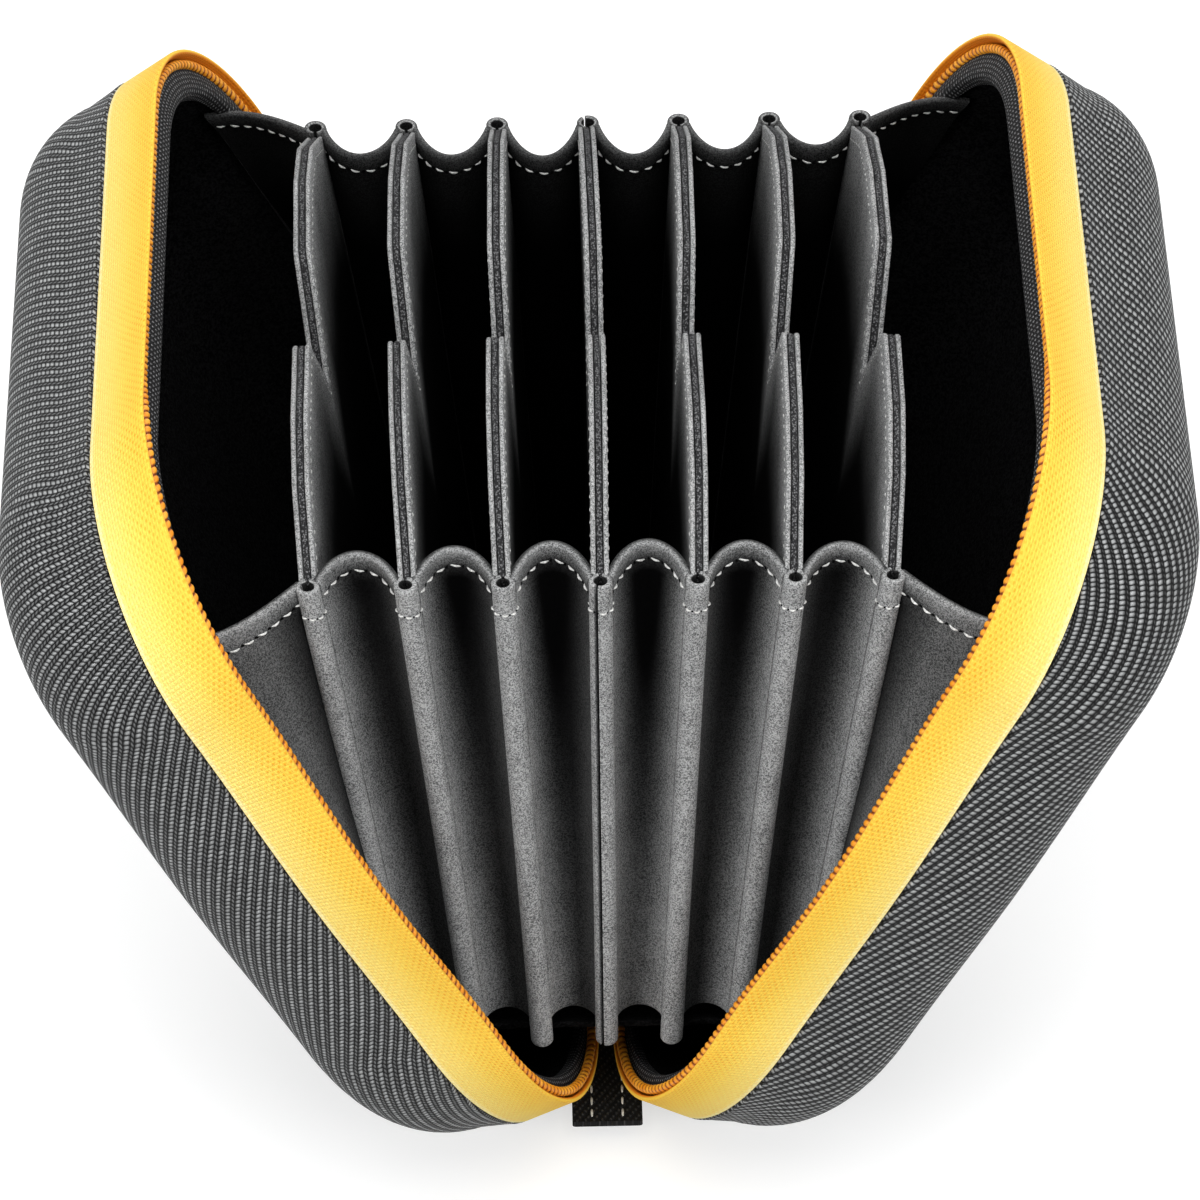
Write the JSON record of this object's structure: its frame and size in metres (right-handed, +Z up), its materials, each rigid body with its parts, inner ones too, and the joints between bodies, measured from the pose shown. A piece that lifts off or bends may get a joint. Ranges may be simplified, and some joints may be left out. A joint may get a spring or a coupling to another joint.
{
  "type": "lens filter case",
  "caption": "Zipped clamshell case standing open on its spine, with felt pockets fanned between two padded trays.",
  "frame": {"origin": "on the ground under the middle of the case, which stands open on its spine", "axes": "+X from the left tray to the right one, +Y from the front end of the spine to its back end, +Z up"},
  "size_m": [0.1814, 0.1452, 0.1544],
  "materials": {
    "nylon": "charcoal ballistic weave nylon",
    "foam": "moulded closed-cell foam",
    "lining": "black brushed fleece",
    "webbing": "black ribbed webbing",
    "tape": "yellow woven zipper tape",
    "coil": "orange nylon coil",
    "felt": "grey felt with a short nap",
    "divider_core": "dark stiffener board",
    "slider_metal": "dark enamelled zinc"
  },
  "bodies": {
    "spine": {"hinge_strip": "webbing", "insert_floor": "lining", "divider_4_core": "divider_core", "divider_4_left_face": "felt", "divider_4_right_face": "felt", "gusset_front_left": "felt", "gusset_front_right": "felt", "gusset_back_left": "felt", "gusset_back_right": "felt"},
    "left_shell": {"left_cover": "nylon", "left_core": "foam", "left_lining": "lining", "left_binding": "webbing", "left_zipper_tape": "tape", "left_zipper_coil": "coil", "left_hinge_panel": "webbing"},
    "right_shell": {"right_cover": "nylon", "right_core": "foam", "right_lining": "lining", "right_binding": "webbing", "right_zipper_tape": "tape", "right_zipper_coil": "coil", "right_hinge_panel": "webbing", "zipper_slider": "slider_metal"},
    "zipper_pull": {"zipper_pull": "slider_metal"},
    "divider_1": {"divider_1_core": "divider_core", "divider_1_left_face": "felt", "divider_1_right_face": "felt"},
    "divider_2": {"divider_2_core": "divider_core", "divider_2_left_face": "felt", "divider_2_right_face": "felt"},
    "divider_3": {"divider_3_core": "divider_core", "divider_3_left_face": "felt", "divider_3_right_face": "felt"},
    "divider_5": {"divider_5_core": "divider_core", "divider_5_left_face": "felt", "divider_5_right_face": "felt"},
    "divider_6": {"divider_6_core": "divider_core", "divider_6_left_face": "felt", "divider_6_right_face": "felt"},
    "divider_7": {"divider_7_core": "divider_core", "divider_7_left_face": "felt", "divider_7_right_face": "felt"}
  },
  "joints": [
    {"name": "left_tray_hinge", "type": "hinge", "parent": "spine", "child": "left_shell", "pos_m": [0, 0, 0.01636], "axis": [0, 1, 0], "range_deg": [0, 25.8], "deforming": ["gusset_front_left", "gusset_back_left"]},
    {"name": "divider_3_fan", "type": "hinge", "parent": "spine", "child": "divider_3", "pos_m": [0, 0, 0.01636], "axis": [0, 1, 0], "range_deg": [0, 3.33], "deforming": ["gusset_front_left", "gusset_back_left"]},
    {"name": "divider_2_fan", "type": "hinge", "parent": "spine", "child": "divider_2", "pos_m": [0, 0, 0.01636], "axis": [0, 1, 0], "range_deg": [0, 6.66], "deforming": ["gusset_front_left", "gusset_back_left"]},
    {"name": "divider_1_fan", "type": "hinge", "parent": "spine", "child": "divider_1", "pos_m": [0, 0, 0.01636], "axis": [0, 1, 0], "range_deg": [0, 9.99], "deforming": ["gusset_front_left", "gusset_back_left"]},
    {"name": "right_tray_hinge", "type": "hinge", "parent": "spine", "child": "right_shell", "pos_m": [0, 0, 0.01636], "axis": [0, -1, 0], "range_deg": [0, 25.8], "deforming": ["gusset_front_right", "gusset_back_right"]},
    {"name": "divider_5_fan", "type": "hinge", "parent": "spine", "child": "divider_5", "pos_m": [0, 0, 0.01636], "axis": [0, -1, 0], "range_deg": [0, 3.33], "deforming": ["gusset_front_right", "gusset_back_right"]},
    {"name": "divider_6_fan", "type": "hinge", "parent": "spine", "child": "divider_6", "pos_m": [0, 0, 0.01636], "axis": [0, -1, 0], "range_deg": [0, 6.66], "deforming": ["gusset_front_right", "gusset_back_right"]},
    {"name": "divider_7_fan", "type": "hinge", "parent": "spine", "child": "divider_7", "pos_m": [0, 0, 0.01636], "axis": [0, -1, 0], "range_deg": [0, 9.99], "deforming": ["gusset_front_right", "gusset_back_right"]},
    {"name": "pull_swing", "type": "hinge", "parent": "right_shell", "child": "zipper_pull", "pos_m": [0.00249, 0.05093, 0.01523], "axis": [0.7142, 0.1286, -0.6881], "range_deg": [0, 50]}
  ],
  "couplings": [
    {"joint": "divider_3_fan", "follows": "left_tray_hinge", "ratio": 0.1287},
    {"joint": "divider_2_fan", "follows": "left_tray_hinge", "ratio": 0.2574},
    {"joint": "divider_1_fan", "follows": "left_tray_hinge", "ratio": 0.3861},
    {"joint": "divider_5_fan", "follows": "right_tray_hinge", "ratio": 0.1287},
    {"joint": "divider_6_fan", "follows": "right_tray_hinge", "ratio": 0.2574},
    {"joint": "divider_7_fan", "follows": "right_tray_hinge", "ratio": 0.3861}
  ]
}
